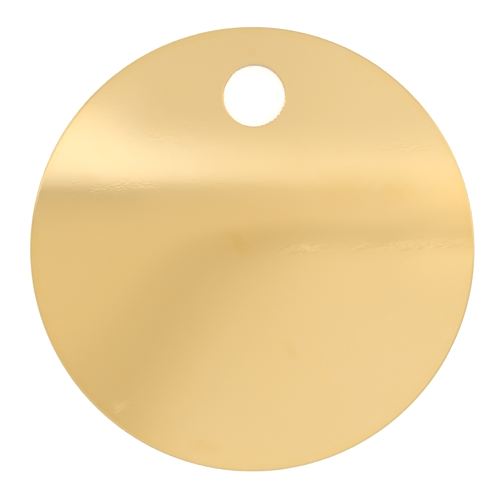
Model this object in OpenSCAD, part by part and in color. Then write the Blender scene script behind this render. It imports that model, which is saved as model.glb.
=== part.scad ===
// Disc pendant: a round blank punched from thin sheet, with one hanging hole near its rim.
// It lies on its back: the origin is the middle of the back face, +Z is out of the front
// and +Y points at the hole. All sizes are in millimetres.

/* [Disc] */
// Diameter of the disc
disc_d = 13; // [8:0.5:40]
// Thickness of the sheet
sheet_t = 0.5; // [0.3:0.05:1.2]

/* [Hanging hole] */
// Diameter of the hole
hole_d = 1.8; // [1:0.1:3]
// Width of the metal left between the hole and the rim
hole_rim_gap = 1.12; // [0.6:0.02:2]

/* [Edges] */
// Width of the band at the front that the blanking punch rolled over round the rim
rim_roll_w = 0.08; // [0.05:0.01:0.2]
// Depth of that rolled band where it meets the rim's wall
rim_roll_h = 0.03; // [0.01:0.01:0.05]
// Width of the rolled band round the hole
hole_roll_w = 0.05; // [0.04:0.01:0.2]
// Depth of the rolled band round the hole
hole_roll_h = 0.02; // [0.01:0.01:0.04]
// Radius that tumbling left on the back edges
back_edge_r = 0.05; // [0.02:0.01:0.1]

/* [Hidden] */
// Fineness of the circles in the preview
$fn = 180;
disc_r = disc_d / 2;
hole_r = hole_d / 2;
hole_y = disc_r - hole_rim_gap - hole_r;
// Distance that a cutting shape runs past the face it cuts
cut_over = sheet_t / 2;
gold = [0.90, 0.77, 0.53];

// Radius of the arc that leaves a face tangentially and has dropped by h after a width w
function roll_radius(w, h) = (w * w + h * h) / (2 * h);

// Section that is cut from a square corner at the origin, whose metal is below and to the left.
// What is left leaves the top face tangentially, a width w before the wall, and meets the wall
// a depth h below the top.
module edge_cut(w, h) {
    arc_r = roll_radius(w, h);
    difference() {
        translate([-w, -h])
            square([w + cut_over, h + cut_over]);
        translate([-w, -arc_r])
            circle(r = arc_r);
    }
}

// Section of the disc from its middle to its rim, as if it had no hole
module rim_section() {
    difference() {
        square([disc_r, sheet_t]);
        translate([disc_r, sheet_t])
            edge_cut(rim_roll_w, rim_roll_h);
        translate([disc_r, 0])
            mirror([0, 1])
                edge_cut(back_edge_r, back_edge_r);
    }
}

// Section of the punched hole, from its axis outwards
module hole_section() {
    translate([0, -cut_over])
        square([hole_r, sheet_t + 2 * cut_over]);
    translate([hole_r, sheet_t])
        mirror([1, 0])
            edge_cut(hole_roll_w, hole_roll_h);
    translate([hole_r, 0])
        mirror([1, 0])
            mirror([0, 1])
                edge_cut(back_edge_r, back_edge_r);
}

// The whole pendant: the blank with its hole
module disc() {
    color(gold)
        difference() {
            rotate_extrude()
                rim_section();
            translate([0, hole_y, 0])
                rotate_extrude()
                    hole_section();
        }
}

disc();
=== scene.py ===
"""Scene of the disc pendant: a thin gold-plated blank with one hanging hole near its rim.

The pendant lies face up on a white table and the camera looks straight down at it. The blank isn't
quite flat. Punching and handling left it with a few soft bends, too slight to see from the side, and
they draw the bands of light and shade on its polished face. Lengths are in metres, in the frame of
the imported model: +Z is out of the front face and +Y points from the middle of the disc at the hole.
"""

import logging
import math
from dataclasses import dataclass, field
from enum import Enum

import bpy
import numpy as np
from mathutils import Matrix, Vector


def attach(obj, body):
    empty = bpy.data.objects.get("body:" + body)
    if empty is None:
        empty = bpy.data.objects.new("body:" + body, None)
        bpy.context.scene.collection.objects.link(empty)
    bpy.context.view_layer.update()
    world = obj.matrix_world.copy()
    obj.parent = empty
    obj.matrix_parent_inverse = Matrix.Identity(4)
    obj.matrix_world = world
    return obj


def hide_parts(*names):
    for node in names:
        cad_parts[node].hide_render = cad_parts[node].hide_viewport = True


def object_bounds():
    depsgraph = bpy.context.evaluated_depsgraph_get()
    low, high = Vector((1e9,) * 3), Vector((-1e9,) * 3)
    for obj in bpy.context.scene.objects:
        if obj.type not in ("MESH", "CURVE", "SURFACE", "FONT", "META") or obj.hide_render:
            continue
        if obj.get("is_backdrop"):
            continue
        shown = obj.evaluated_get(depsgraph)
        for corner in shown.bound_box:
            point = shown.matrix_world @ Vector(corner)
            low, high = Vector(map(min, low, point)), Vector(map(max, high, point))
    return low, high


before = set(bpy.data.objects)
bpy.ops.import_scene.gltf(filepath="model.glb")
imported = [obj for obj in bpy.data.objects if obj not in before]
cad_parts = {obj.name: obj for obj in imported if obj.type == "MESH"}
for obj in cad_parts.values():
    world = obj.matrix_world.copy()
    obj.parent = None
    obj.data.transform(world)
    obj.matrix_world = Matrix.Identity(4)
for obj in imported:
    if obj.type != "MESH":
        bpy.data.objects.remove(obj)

LOG = logging.getLogger("disc_pendant")
MM = 0.001
# The photograph is turned by this angle: the hole stands a little to the right of the disc's middle
PHOTO_TURN = math.radians(0.77)

Colour = tuple[float, float, float]
Stops = tuple[tuple[float, float], ...]


class Finish(Enum):
    """The two finishes of the blank, numbered as the mesh's material slots."""

    FACE = 0
    CUT_WALL = 1


def softplus(depth: np.ndarray, softness: np.ndarray | float) -> np.ndarray:
    """Gives a ramp that is flat below zero, rises at slope one above it, and turns within softness."""
    return softness * np.logaddexp(0.0, depth / softness)


def ease(share: np.ndarray) -> np.ndarray:
    """Eases from 0 to 1, flat at both ends, and stays there outside that range."""
    held = np.clip(share, 0.0, 1.0)
    return held * held * (3.0 - 2.0 * held)


# Bends


@dataclass(frozen=True)
class Bend:
    """A soft bend that runs across the sheet, and beyond which the sheet falls away more steeply.

    Attributes:
        line: Where the bend lies, up the sheet.
        softness: Width over which it turns.
        turn: Angle that it adds to the fall, in radians.
    """

    line: float
    softness: float
    turn: float

    def fall(self, up: np.ndarray, start: float, widened: np.ndarray | float = 0.0) -> np.ndarray:
        """Gives how far the bend has let the sheet fall.

        Args:
            up: Places up the sheet.
            start: Place up the sheet where the fall is counted from.
            widened: How much softer than its own softness the bend is.

        Returns:
            The fall at each place.
        """
        softness = self.softness + widened
        return self.turn * (softplus(up - self.line, softness) - softplus(start - self.line, softness))


@dataclass(frozen=True)
class SheetForm:
    """The soft bends of the blank, measured along the photograph's own two directions.

    Attributes:
        bow_across: Curvature from left to right, rounded upwards, in 1/m.
        bow_up: Curvature from bottom to top, in 1/m.
        top_curl: Further curvature of the part above the hole's middle.
        top_line: Where that curl starts.
        top_softness: Width over which it starts.
        right_fall: Slope of the right half below its bend.
        right_bend: The wide bend of the right half.
        bend_widening: How much softer that bend is on its left end.
        widening_start: Place across the sheet where it begins to soften.
        widening_length: Length over which it softens.
        left_fall: Slope of the left half below its bend.
        left_bend: The sharper crease of the left half.
        hinge: Place up the sheet where the two halves lie at one height.
        twist_line: Place across the sheet where the halves meet, at the height of the hinge.
        twist_slant: How far that place moves to the right for each step up the sheet.
        twist_softness: Width over which one half passes into the other.
    """

    bow_across: float = 3.2
    bow_up: float = -0.5
    top_curl: float = 2.0
    top_line: float = 2.4 * MM
    top_softness: float = 0.6 * MM
    right_fall: float = -0.005
    right_bend: Bend = Bend(line=1.10 * MM, softness=0.44 * MM, turn=0.034)
    bend_widening: float = 0.08 * MM
    widening_start: float = 2.0 * MM
    widening_length: float = 3.5 * MM
    left_fall: float = 0.0177
    left_bend: Bend = Bend(line=1.85 * MM, softness=0.13 * MM, turn=0.0086)
    hinge: float = -1.4 * MM
    twist_line: float = -2.30 * MM
    twist_slant: float = 0.04
    twist_softness: float = 1.40 * MM

    def height(self, x: np.ndarray, y: np.ndarray) -> np.ndarray:
        """Gives how high the bent sheet stands over a flat one.

        Args:
            x: Places across the disc.
            y: Places up the disc.

        Returns:
            The height at each place, which is mostly below zero away from the middle.
        """
        across = x * math.cos(PHOTO_TURN) + y * math.sin(PHOTO_TURN)
        up = y * math.cos(PHOTO_TURN) - x * math.sin(PHOTO_TURN)
        widened = self.bend_widening * ease((self.widening_start - across) / self.widening_length)
        right = self.right_fall * up + self.right_bend.fall(up, self.hinge, widened)
        left = (self.right_fall * self.hinge + self.left_fall * (up - self.hinge)
                + self.left_bend.fall(up, self.hinge))
        beside = across - self.twist_line - self.twist_slant * (up - self.hinge)
        share_left = 1.0 / (1.0 + np.exp(beside / self.twist_softness))
        curl = softplus(up - self.top_line, self.top_softness)
        bows = self.bow_across * across ** 2 + self.bow_up * up ** 2 + self.top_curl * curl ** 2
        return -(right + share_left * (left - right) + bows / 2.0)


# Mesh


@dataclass(frozen=True)
class Ring:
    """One closed line of points round the blank's skin.

    Attributes:
        centre_y: The circle's centre, up the disc.
        radius: The circle's radius.
        lift: Height over the back face, before the sheet is bent.
        raggedness: Share of the hole's ragged edge that this ring takes.
        finish: Finish of the skin between this ring and the next.
    """

    centre_y: float
    radius: float
    lift: float
    raggedness: float = 0.0
    finish: Finish = Finish.FACE


@dataclass(frozen=True)
class RolledEdge:
    """An edge that the punch rolled over: it starts gently, steepens, and ends in a small corner.

    Attributes:
        width: Width of the rolled band.
        depth: Depth of the band at the wall, as if the corner were sharp.
        corner: Radius of the corner.
        power: Power of the distance with which the band drops.
        band_steps: Number of rings on the band.
        corner_steps: Number of rings on the corner.
        rounds: Number of times that the corner's start is worked out, each time closer.
    """

    width: float
    depth: float
    corner: float
    power: float = 4.0
    band_steps: int = 10
    corner_steps: int = 4
    rounds: int = 20

    def tilt(self, share: float) -> float:
        """Gives the band's tilt at a share of its width."""
        return math.atan(self.power * self.depth / self.width * share ** (self.power - 1.0))

    def section(self) -> list[tuple[float, float]]:
        """Gives the section's points as distance short of the wall and drop below the face.

        Returns:
            The points from the face to the wall.
        """
        last = 1.0
        for _ in range(self.rounds):
            last = 1.0 - self.corner * (1.0 - math.sin(self.tilt(last))) / self.width
        points = []
        for step in range(self.band_steps + 1):
            share = last * step / self.band_steps
            points.append((self.width * (1.0 - share), self.depth * share ** self.power))
        start = self.tilt(last)
        centre_drop = points[-1][1] + self.corner * math.cos(start)
        for step in range(1, self.corner_steps + 1):
            angle = start + (math.pi / 2.0 - start) * step / self.corner_steps
            points.append((self.corner * (1.0 - math.sin(angle)),
                           centre_drop - self.corner * math.cos(angle)))
        return points


@dataclass(frozen=True)
class Dent:
    """A shallow dent that widens the hole, or a bulge that narrows it where its depth is negative.

    Attributes:
        bearing: Its direction from the hole's middle, in degrees clockwise from the top.
        half_width: Half of its width, in degrees.
        depth: How far it widens the hole.
    """

    bearing: float
    half_width: float
    depth: float

    def outline(self, angle: np.ndarray) -> np.ndarray:
        """Gives how far the hole's edge stands out of its circle in each direction."""
        away = (np.degrees(angle) - self.bearing + 180.0) % 360.0 - 180.0
        return self.depth * np.exp(-(away / self.half_width) ** 2)


@dataclass
class GoldDisc:
    """The pendant itself, one closed skin of rings between its rim and its hole.

    Attributes:
        radius: Radius of the blank.
        thickness: Thickness of the sheet.
        hole_y: Place of the hole's middle.
        hole_radius: Radius of the hole.
        rim_roll: The rolled edge round the front of the rim.
        hole_roll: The rolled edge round the front of the hole.
        back_round: Radius of the tumbled back edges.
        break_share: Share of the wall, from the back, that tore instead of being cut.
        face_rings: Number of rings on the front face.
        back_rings: Number of rings on the back face.
        round_steps: Number of rings on each back edge.
        segments: Number of points in each ring.
        skirt_share: Share of a wall between its edge and the ring that keeps that edge crisp.
        tear_share: Share of a wall over which the cut part passes into the torn part.
        nick_depth: Depth of the small nicks that the punch left in the hole's lower right edge.
        nick_bearing: Direction of the nicks from the hole's middle, in degrees clockwise from the top.
        nick_spread: Half of the width over which they lie, in degrees.
        teeth: Number round the hole, height and phase of each wave that the nicks are made of.
        dents: The places where the hole is out of round.
        form: The blank's bends.
        directions: Number of directions in which the disc is rocked to find how it rests.
        first_rock: Slope of the first rocking step.
        last_rock: Slope below which a step is too small to matter.
    """

    radius: float = 6.5 * MM
    thickness: float = 0.5 * MM
    hole_y: float = 4.48 * MM
    hole_radius: float = 0.9 * MM
    rim_roll: RolledEdge = RolledEdge(width=0.08 * MM, depth=0.03 * MM, corner=0.012 * MM)
    hole_roll: RolledEdge = RolledEdge(width=0.05 * MM, depth=0.02 * MM, corner=0.008 * MM,
                                       band_steps=8)
    back_round: float = 0.05 * MM
    break_share: float = 0.4
    face_rings: int = 84
    back_rings: int = 24
    round_steps: int = 4
    segments: int = 512
    skirt_share: float = 0.02
    tear_share: float = 0.06
    nick_depth: float = 0.012 * MM
    nick_bearing: float = 128.0
    nick_spread: float = 38.0
    teeth: tuple[tuple[float, float, float], ...] = (
        (41.0, 1.0, 0.0), (67.0, 0.6, 1.0), (23.0, 0.5, 2.0))
    dents: tuple[Dent, ...] = (
        Dent(bearing=100.0, half_width=10.0, depth=0.016 * MM),
        Dent(bearing=156.0, half_width=14.0, depth=-0.008 * MM),
        Dent(bearing=236.0, half_width=44.0, depth=0.014 * MM),
        Dent(bearing=301.0, half_width=9.0, depth=-0.012 * MM),
        Dent(bearing=343.0, half_width=11.0, depth=-0.007 * MM))
    form: SheetForm = field(default_factory=SheetForm)
    directions: int = 24
    first_rock: float = 0.01
    last_rock: float = 1e-7

    def face_ring_list(self) -> list[Ring]:
        """Builds the front face's rings, which pass evenly from the hole's circle to the rim's.

        Returns:
            The rings, from the hole outwards.
        """
        inner = self.hole_radius + self.hole_roll.width
        outer = self.radius - self.rim_roll.width
        rings = []
        for step in range(self.face_rings):
            share = step / self.face_rings
            rings.append(Ring(self.hole_y * (1.0 - share), inner + (outer - inner) * share,
                              self.thickness))
        return rings

    def back_ring_list(self) -> list[Ring]:
        """Builds the back face's rings, from the rim's circle to the hole's.

        Returns:
            The rings, from the rim inwards.
        """
        outer = self.radius - self.back_round
        inner = self.hole_radius + self.back_round
        rings = []
        for step in range(1, self.back_rings):
            share = step / self.back_rings
            rings.append(Ring(self.hole_y * share, outer + (inner - outer) * share, 0.0))
        return rings

    def rim_ring_list(self) -> list[Ring]:
        """Builds the rings down the outside: rolled edge, wall, and tumbled back edge.

        Returns:
            The rings, from the front to the back.
        """
        rings = []
        for short, drop in self.rim_roll.section():
            rings.append(Ring(0.0, self.radius - short, self.thickness - drop))
        rings += self.wall_ring_list(0.0, self.radius, rings[-1].lift, downwards=True)
        for step in range(self.round_steps + 1):
            angle = math.pi / 2.0 * step / self.round_steps
            rings.append(Ring(0.0, self.radius - self.back_round * (1.0 - math.cos(angle)),
                              self.back_round * (1.0 - math.sin(angle))))
        return rings

    def hole_ring_list(self) -> list[Ring]:
        """Builds the rings up the hole: tumbled back edge, wall, and rolled front edge.

        Returns:
            The rings, from the back to the front.
        """
        rings = []
        for step in range(self.round_steps + 1):
            angle = math.pi / 2.0 * step / self.round_steps
            rings.append(Ring(self.hole_y, self.hole_radius + self.back_round * (1.0 - math.sin(angle)),
                              self.back_round * (1.0 - math.cos(angle)), raggedness=0.5))
        section = self.hole_roll.section()
        top = self.thickness - section[-1][1]
        rings += self.wall_ring_list(self.hole_y, self.hole_radius, top, downwards=False)
        for short, drop in reversed(section[1:]):
            rings.append(Ring(self.hole_y, self.hole_radius + short, self.thickness - drop,
                              raggedness=1.0 - short / self.hole_roll.width))
        return rings

    def wall_ring_list(self, centre_y: float, radius: float, top: float, downwards: bool) -> list[Ring]:
        """Gives the rings of a straight wall, between its two edges.

        Args:
            centre_y: Place of the wall's axis.
            radius: Radius of the wall.
            top: Height of the wall's upper end.
            downwards: Whether the rings go from the top to the bottom.

        Returns:
            The wall's own rings, without those of its edges.
        """
        tall = top - self.back_round
        torn = 1.0 - self.break_share
        shares = [0.0, self.skirt_share, torn, torn + self.tear_share, 1.0 - self.skirt_share]
        lifts = [top - tall * share for share in shares]
        if not downwards:
            lifts = lifts[::-1]
        rag = 0.0 if downwards else 1.0
        return [Ring(centre_y, radius, lift, rag, Finish.CUT_WALL) for lift in lifts]

    def nicks(self, angle: np.ndarray) -> np.ndarray:
        """Gives the outline of the nicks and dents round the hole.

        Args:
            angle: Directions from the hole's middle, clockwise from the top.

        Returns:
            How far the edge stands out of its circle in each direction.
        """
        quarter = np.exp(-((np.degrees(angle) - self.nick_bearing) / self.nick_spread) ** 2)
        teeth = sum(height * np.sin(angle * number + phase) for number, height, phase in self.teeth)
        return self.nick_depth * quarter * teeth + sum(dent.outline(angle) for dent in self.dents)

    def points(self, rings: list[Ring]) -> np.ndarray:
        """Gives every point of the skin, bent and settled on the table.

        Args:
            rings: The rings in their order round the section.

        Returns:
            An array of points, ring by ring.
        """
        angle = np.linspace(0.0, 2.0 * math.pi, self.segments, endpoint=False)
        outline = self.nicks(angle)
        parts = []
        for ring in rings:
            radius = ring.radius + outline * ring.raggedness
            x = radius * np.sin(angle)
            y = ring.centre_y + radius * np.cos(angle)
            parts.append(np.stack([x, y, ring.lift + self.form.height(x, y)], axis=1))
        return np.concatenate(parts)

    def lean(self, points: np.ndarray) -> tuple[float, float, float]:
        """Finds how the bent disc leans when it lies on a table by its own weight.

        The disc is rocked in ever smaller steps for as long as its middle sinks.

        Args:
            points: The skin's points, before they are settled.

        Returns:
            The slopes of the table against the disc, along x and y, and its height at the origin.
        """
        middle = points.mean(axis=0)
        low = points[points[:, 2] < np.median(points[:, 2])]
        directions = [2.0 * math.pi * k / self.directions for k in range(self.directions)]
        step = self.first_rock
        best = np.zeros(2)
        best_gap = low[:, 2].min()
        while step > self.last_rock:
            moved = False
            for direction in directions:
                trial = best + step * np.array([math.cos(direction), math.sin(direction)])
                gap = (low[:, 2] - (low[:, :2] - middle[:2]) @ trial).min()
                if gap > best_gap:
                    best, best_gap, moved = trial, gap, True
            if not moved:
                step /= 2.0
        return float(best[0]), float(best[1]), float(best_gap - best @ middle[:2])

    def build(self) -> tuple[bpy.types.Object, tuple[float, float]]:
        """Builds the disc, bent and resting on the table.

        Returns:
            The piece, and the slopes that the table has against the unbent disc.
        """
        rings = (self.face_ring_list() + self.rim_ring_list() + self.back_ring_list()
                 + self.hole_ring_list())
        points = self.points(rings)
        slope_x, slope_y, height = self.lean(points)
        points[:, 2] -= slope_x * points[:, 0] + slope_y * points[:, 1] + height
        count = len(rings)
        here = np.arange(self.segments)
        beside = (here + 1) % self.segments
        quads = []
        finishes = []
        for index, ring in enumerate(rings):
            start = index * self.segments
            after = (index + 1) % count * self.segments
            quads.append(np.stack([start + here, after + here, after + beside, start + beside], axis=1))
            finishes += [ring.finish.value] * self.segments
        mesh = bpy.data.meshes.new("gold_disc")
        mesh.from_pydata(points.tolist(), [], np.concatenate(quads).tolist())
        mesh.polygons.foreach_set("material_index", finishes)
        mesh.shade_smooth()
        mesh.update()
        piece = bpy.data.objects.new("gold_disc", mesh)
        bpy.context.scene.collection.objects.link(piece)
        return piece, (slope_x, slope_y)

    def dress(self, piece: bpy.types.Object) -> None:
        """Gives the disc its two finishes, in the order of their slots."""
        piece.data.materials.append(PolishedFace().material())
        piece.data.materials.append(CutWall().material())


# Nodes


class NodeBench:
    """Adds nodes to one tree and wires them, so that a finish reads as a recipe."""

    # Vector operations whose result is a number
    NUMBERS = ("LENGTH", "DISTANCE", "DOT_PRODUCT")

    def __init__(self, tree: bpy.types.NodeTree) -> None:
        """Takes the tree and empties it.

        Args:
            tree: The node tree to fill.
        """
        self.tree = tree
        tree.nodes.clear()

    def node(self, kind: str, **settings: object) -> bpy.types.Node:
        """Adds a node.

        Args:
            kind: The node's type, without the words ShaderNode.
            **settings: Properties to set on it.

        Returns:
            The new node.
        """
        prefix = "" if kind.startswith("Node") else "ShaderNode"
        made = self.tree.nodes.new(prefix + kind)
        for name, value in settings.items():
            setattr(made, name, value)
        return made

    def feed(self, socket: bpy.types.NodeSocket, value: object) -> None:
        """Wires a socket to another one, or sets its own value.

        Args:
            socket: The input socket.
            value: An output socket, a number, a vector or a colour.
        """
        if isinstance(value, bpy.types.NodeSocket):
            self.tree.links.new(value, socket)
        elif socket.type == "RGBA":
            socket.default_value = (*value, 1.0)
        else:
            socket.default_value = value

    def maths(self, operation: str, first: object, second: object = 0.0) -> bpy.types.NodeSocket:
        """Adds a Math node.

        Args:
            operation: The node's operation.
            first: Its first value or socket.
            second: Its second value or socket.

        Returns:
            The result.
        """
        made = self.node("Math", operation=operation)
        self.feed(made.inputs[0], first)
        self.feed(made.inputs[1], second)
        return made.outputs[0]

    def total(self, *terms: object) -> bpy.types.NodeSocket:
        """Adds up sockets and numbers.

        Args:
            *terms: The terms.

        Returns:
            Their sum.
        """
        result = terms[0]
        for term in terms[1:]:
            result = self.maths("ADD", result, term)
        return result

    def product(self, *factors: object) -> bpy.types.NodeSocket:
        """Multiplies sockets and numbers.

        Args:
            *factors: The factors.

        Returns:
            Their product.
        """
        result = factors[0]
        for factor in factors[1:]:
            result = self.maths("MULTIPLY", result, factor)
        return result

    def remainder(self, share: object) -> bpy.types.NodeSocket:
        """Gives what a share leaves of one."""
        return self.maths("SUBTRACT", 1.0, share)

    def vector(self, operation: str, first: object,
               second: object = (0.0, 0.0, 0.0)) -> bpy.types.NodeSocket:
        """Adds a Vector Math node.

        Args:
            operation: The node's operation.
            first: Its first vector or socket.
            second: Its second vector or socket.

        Returns:
            The result, which is a number for a length, a distance or a dot product.
        """
        made = self.node("VectorMath", operation=operation)
        self.feed(made.inputs[0], first)
        self.feed(made.inputs[1], second)
        return made.outputs["Value" if operation in self.NUMBERS else "Vector"]

    def parts(self, vector: object) -> bpy.types.bpy_prop_collection:
        """Splits a vector into its parts along the axes.

        Args:
            vector: The vector.

        Returns:
            The sockets X, Y and Z, by name.
        """
        made = self.node("SeparateXYZ")
        self.feed(made.inputs[0], vector)
        return made.outputs

    def span(self, value: object, start: float, end: float, low: float = 0.0,
             high: float = 1.0) -> bpy.types.NodeSocket:
        """Passes smoothly from one value to another while its input crosses a span.

        Args:
            value: The input.
            start: Input at which the result is low.
            end: Input at which the result is high.
            low: Result at the start and before it.
            high: Result at the end and after it.

        Returns:
            The result.
        """
        made = self.node("MapRange", interpolation_type="SMOOTHSTEP")
        for socket, number in zip(made.inputs[:5], (value, start, end, low, high)):
            self.feed(socket, number)
        return made.outputs[0]

    def profile(self, value: object, stops: Stops) -> bpy.types.NodeSocket:
        """Follows a profile of eased steps.

        Args:
            value: The input.
            stops: Pairs of input and result, in rising order of input, with results from 0 to 1.

        Returns:
            The result.
        """
        first, last = stops[0][0], stops[-1][0]
        scaled = self.maths("DIVIDE", self.maths("SUBTRACT", value, first), last - first)
        made = self.node("ValToRGB")
        self.feed(made.inputs[0], scaled)
        made.color_ramp.interpolation = "EASE"
        elements = made.color_ramp.elements
        while len(elements) < len(stops):
            elements.new(0.5)
        for element, (place, level) in zip(elements, stops):
            element.position = (place - first) / (last - first)
            element.color = (level, level, level, 1.0)
        return made.outputs[0]

    def blend(self, share: object, first: object, second: object,
              held: bool = True) -> bpy.types.NodeSocket:
        """Mixes two colours.

        Args:
            share: Share of the second colour.
            first: The first colour.
            second: The second colour.
            held: Whether the share is kept between 0 and 1.

        Returns:
            The mixed colour.
        """
        made = self.node("Mix", data_type="RGBA", clamp_factor=held)
        self.feed(made.inputs[0], share)
        self.feed(made.inputs[6], first)
        self.feed(made.inputs[7], second)
        return made.outputs[2]

    def scaled(self, vector: object, scale: tuple[float, float, float],
               turned: float = 0.0) -> bpy.types.NodeSocket:
        """Turns a vector about +Z and stretches it.

        Args:
            vector: The vector.
            scale: Its scale along each axis.
            turned: The angle, in radians.

        Returns:
            The new vector.
        """
        rotated = self.node("VectorRotate", rotation_type="Z_AXIS")
        self.feed(rotated.inputs["Vector"], vector)
        rotated.inputs["Angle"].default_value = turned
        return self.vector("MULTIPLY", rotated.outputs[0], scale)

    def grain(self, vector: object, size: object, detail: float = 2.0,
              roughness: float = 0.5) -> bpy.types.NodeSocket:
        """Adds soft random grain.

        Args:
            vector: Place on the surface.
            size: Number of grains in a metre.
            detail: Number of finer layers.
            roughness: Strength of the finer layers.

        Returns:
            A value around a half.
        """
        made = self.node("TexNoise", normalize=True)
        self.feed(made.inputs["Vector"], vector)
        self.feed(made.inputs["Scale"], size)
        made.inputs["Detail"].default_value = detail
        made.inputs["Roughness"].default_value = roughness
        return made.outputs[0]


class Workshop:
    """Makes each shared surface effect once, as a node group, and hands it out."""

    PEEL = "rolled_skin"
    MARKS = "handling_marks"
    TONE = "plating_tone"

    # Size of the peel's fine bumps against that of its coarse ones
    COARSE_SCALE = 0.3
    # Grain and edges of the patches in which the peel is full
    PATCH_GRAIN = 2200.0
    PATCH_EDGES = (0.48, 0.62)
    # Direction in radians and lines in a metre of each family of hairlines, and how all are drawn out
    HAIRLINES = ((0.4, 9000.0), (1.3, 7000.0), (2.5, 11000.0))
    HAIR_STRETCH = 0.02
    HAIR_EDGES = (0.74, 0.80)
    # Cells in a metre, reach of a pit in its cell, and the draws above which a cell holds one
    PIT_CELLS = 1400.0
    PIT_EDGES = (0.06, 0.02)
    PIT_CHANCE = (0.90, 0.94)
    # Grains of the clouds, and what share each has in them
    WIDE_GRAIN = 260.0
    SMALL_GRAIN = 1500.0
    WIDE_SHARE = 0.7
    CLOUD_EDGES = (0.35, 0.70)
    # How far clouds and marks turn the plating's colour warm
    CLOUD_WARMTH = 0.25
    MARK_WARMTH = 0.5
    # Grain of the smudges, which are drawn out in one direction
    SMUDGE_GRAIN = (500.0, 1100.0, 1100.0)
    SMUDGE_TURN = 1.1
    SMUDGE_EDGES = (0.58, 0.70)
    # How the warm edge and the duller line fray; the duller line is thinned plating, and on the
    # polished face also painted shade at the top of the hole
    EDGE_FRAY = (0.32, 0.54)
    WEAR_FRAY = (0.25, 0.55, 0.75)

    @classmethod
    def group(cls, name: str) -> bpy.types.NodeTree:
        """Gives the group of that name, and makes it the first time.

        Args:
            name: PEEL, MARKS or TONE.

        Returns:
            The node group.
        """
        if name not in bpy.data.node_groups:
            makers = {cls.PEEL: cls._make_peel, cls.MARKS: cls._make_marks, cls.TONE: cls._make_tone}
            makers[name]()
        return bpy.data.node_groups[name]

    @staticmethod
    def _start(name: str, inputs: dict[str, tuple[str, object]],
               outputs: dict[str, str]) -> tuple[NodeBench, bpy.types.Node, bpy.types.Node]:
        """Makes an empty group with its sockets.

        Args:
            name: The group's name.
            inputs: Name, kind and first value of each input.
            outputs: Name and kind of each output.

        Returns:
            The bench for the group's tree, its input node and its output node.
        """
        tree = bpy.data.node_groups.new(name, "ShaderNodeTree")
        for label, (kind, value) in inputs.items():
            socket = tree.interface.new_socket(name=label, in_out="INPUT", socket_type=kind)
            if value is not None:
                socket.default_value = value
        for label, kind in outputs.items():
            tree.interface.new_socket(name=label, in_out="OUTPUT", socket_type=kind)
        bench = NodeBench(tree)
        return bench, bench.node("NodeGroupInput"), bench.node("NodeGroupOutput")

    @classmethod
    def _make_peel(cls) -> None:
        """Makes the faint orange peel that rolling and tumbling leave on polished sheet."""
        bench, given, result = cls._start(
            cls.PEEL,
            {"Position": ("NodeSocketVector", None), "Scale": ("NodeSocketFloat", 6000.0),
             "Coarse": ("NodeSocketFloat", 0.5), "Patchiness": ("NodeSocketFloat", 0.6)},
            {"Height": "NodeSocketFloat"})
        place = given.outputs["Position"]
        scale = given.outputs["Scale"]
        fine = bench.grain(place, scale, detail=1.0)
        coarse = bench.grain(place, bench.product(scale, cls.COARSE_SCALE), detail=1.0)
        patches = bench.span(bench.grain(place, cls.PATCH_GRAIN, detail=1.0), *cls.PATCH_EDGES)
        calm = bench.product(given.outputs["Patchiness"], bench.remainder(patches))
        height = bench.product(bench.total(fine, -0.5), bench.remainder(calm))
        broad = bench.product(bench.total(coarse, -0.5), given.outputs["Coarse"])
        bench.feed(result.inputs["Height"], bench.total(height, broad))

    @classmethod
    def _make_marks(cls) -> None:
        """Makes the hairlines and pinpricks that come from handling a finished blank."""
        bench, given, result = cls._start(
            cls.MARKS,
            {"Position": ("NodeSocketVector", None), "Hairlines": ("NodeSocketFloat", 0.5),
             "Pits": ("NodeSocketFloat", 0.5)},
            {"Mask": "NodeSocketFloat", "Height": "NodeSocketFloat"})
        place = given.outputs["Position"]
        lines: list[object] = []
        for turned, count in cls.HAIRLINES:
            along = count * cls.HAIR_STRETCH
            stretched = bench.scaled(place, (along, count, along), turned)
            lines.append(bench.span(bench.grain(stretched, 1.0, detail=0.0), *cls.HAIR_EDGES))
        hairs = bench.product(bench.total(*lines), given.outputs["Hairlines"])
        cells = bench.node("TexVoronoi", feature="F1")
        bench.feed(cells.inputs["Vector"], place)
        cells.inputs["Scale"].default_value = cls.PIT_CELLS
        close = bench.span(cells.outputs["Distance"], *cls.PIT_EDGES)
        chance = bench.node("SeparateColor")
        bench.feed(chance.inputs[0], cells.outputs["Color"])
        rare = bench.span(chance.outputs[0], *cls.PIT_CHANCE)
        pits = bench.product(close, rare, given.outputs["Pits"])
        mask = bench.maths("MINIMUM", bench.total(hairs, pits), 1.0)
        bench.feed(result.inputs["Mask"], mask)
        bench.feed(result.inputs["Height"], bench.remainder(mask))

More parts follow.
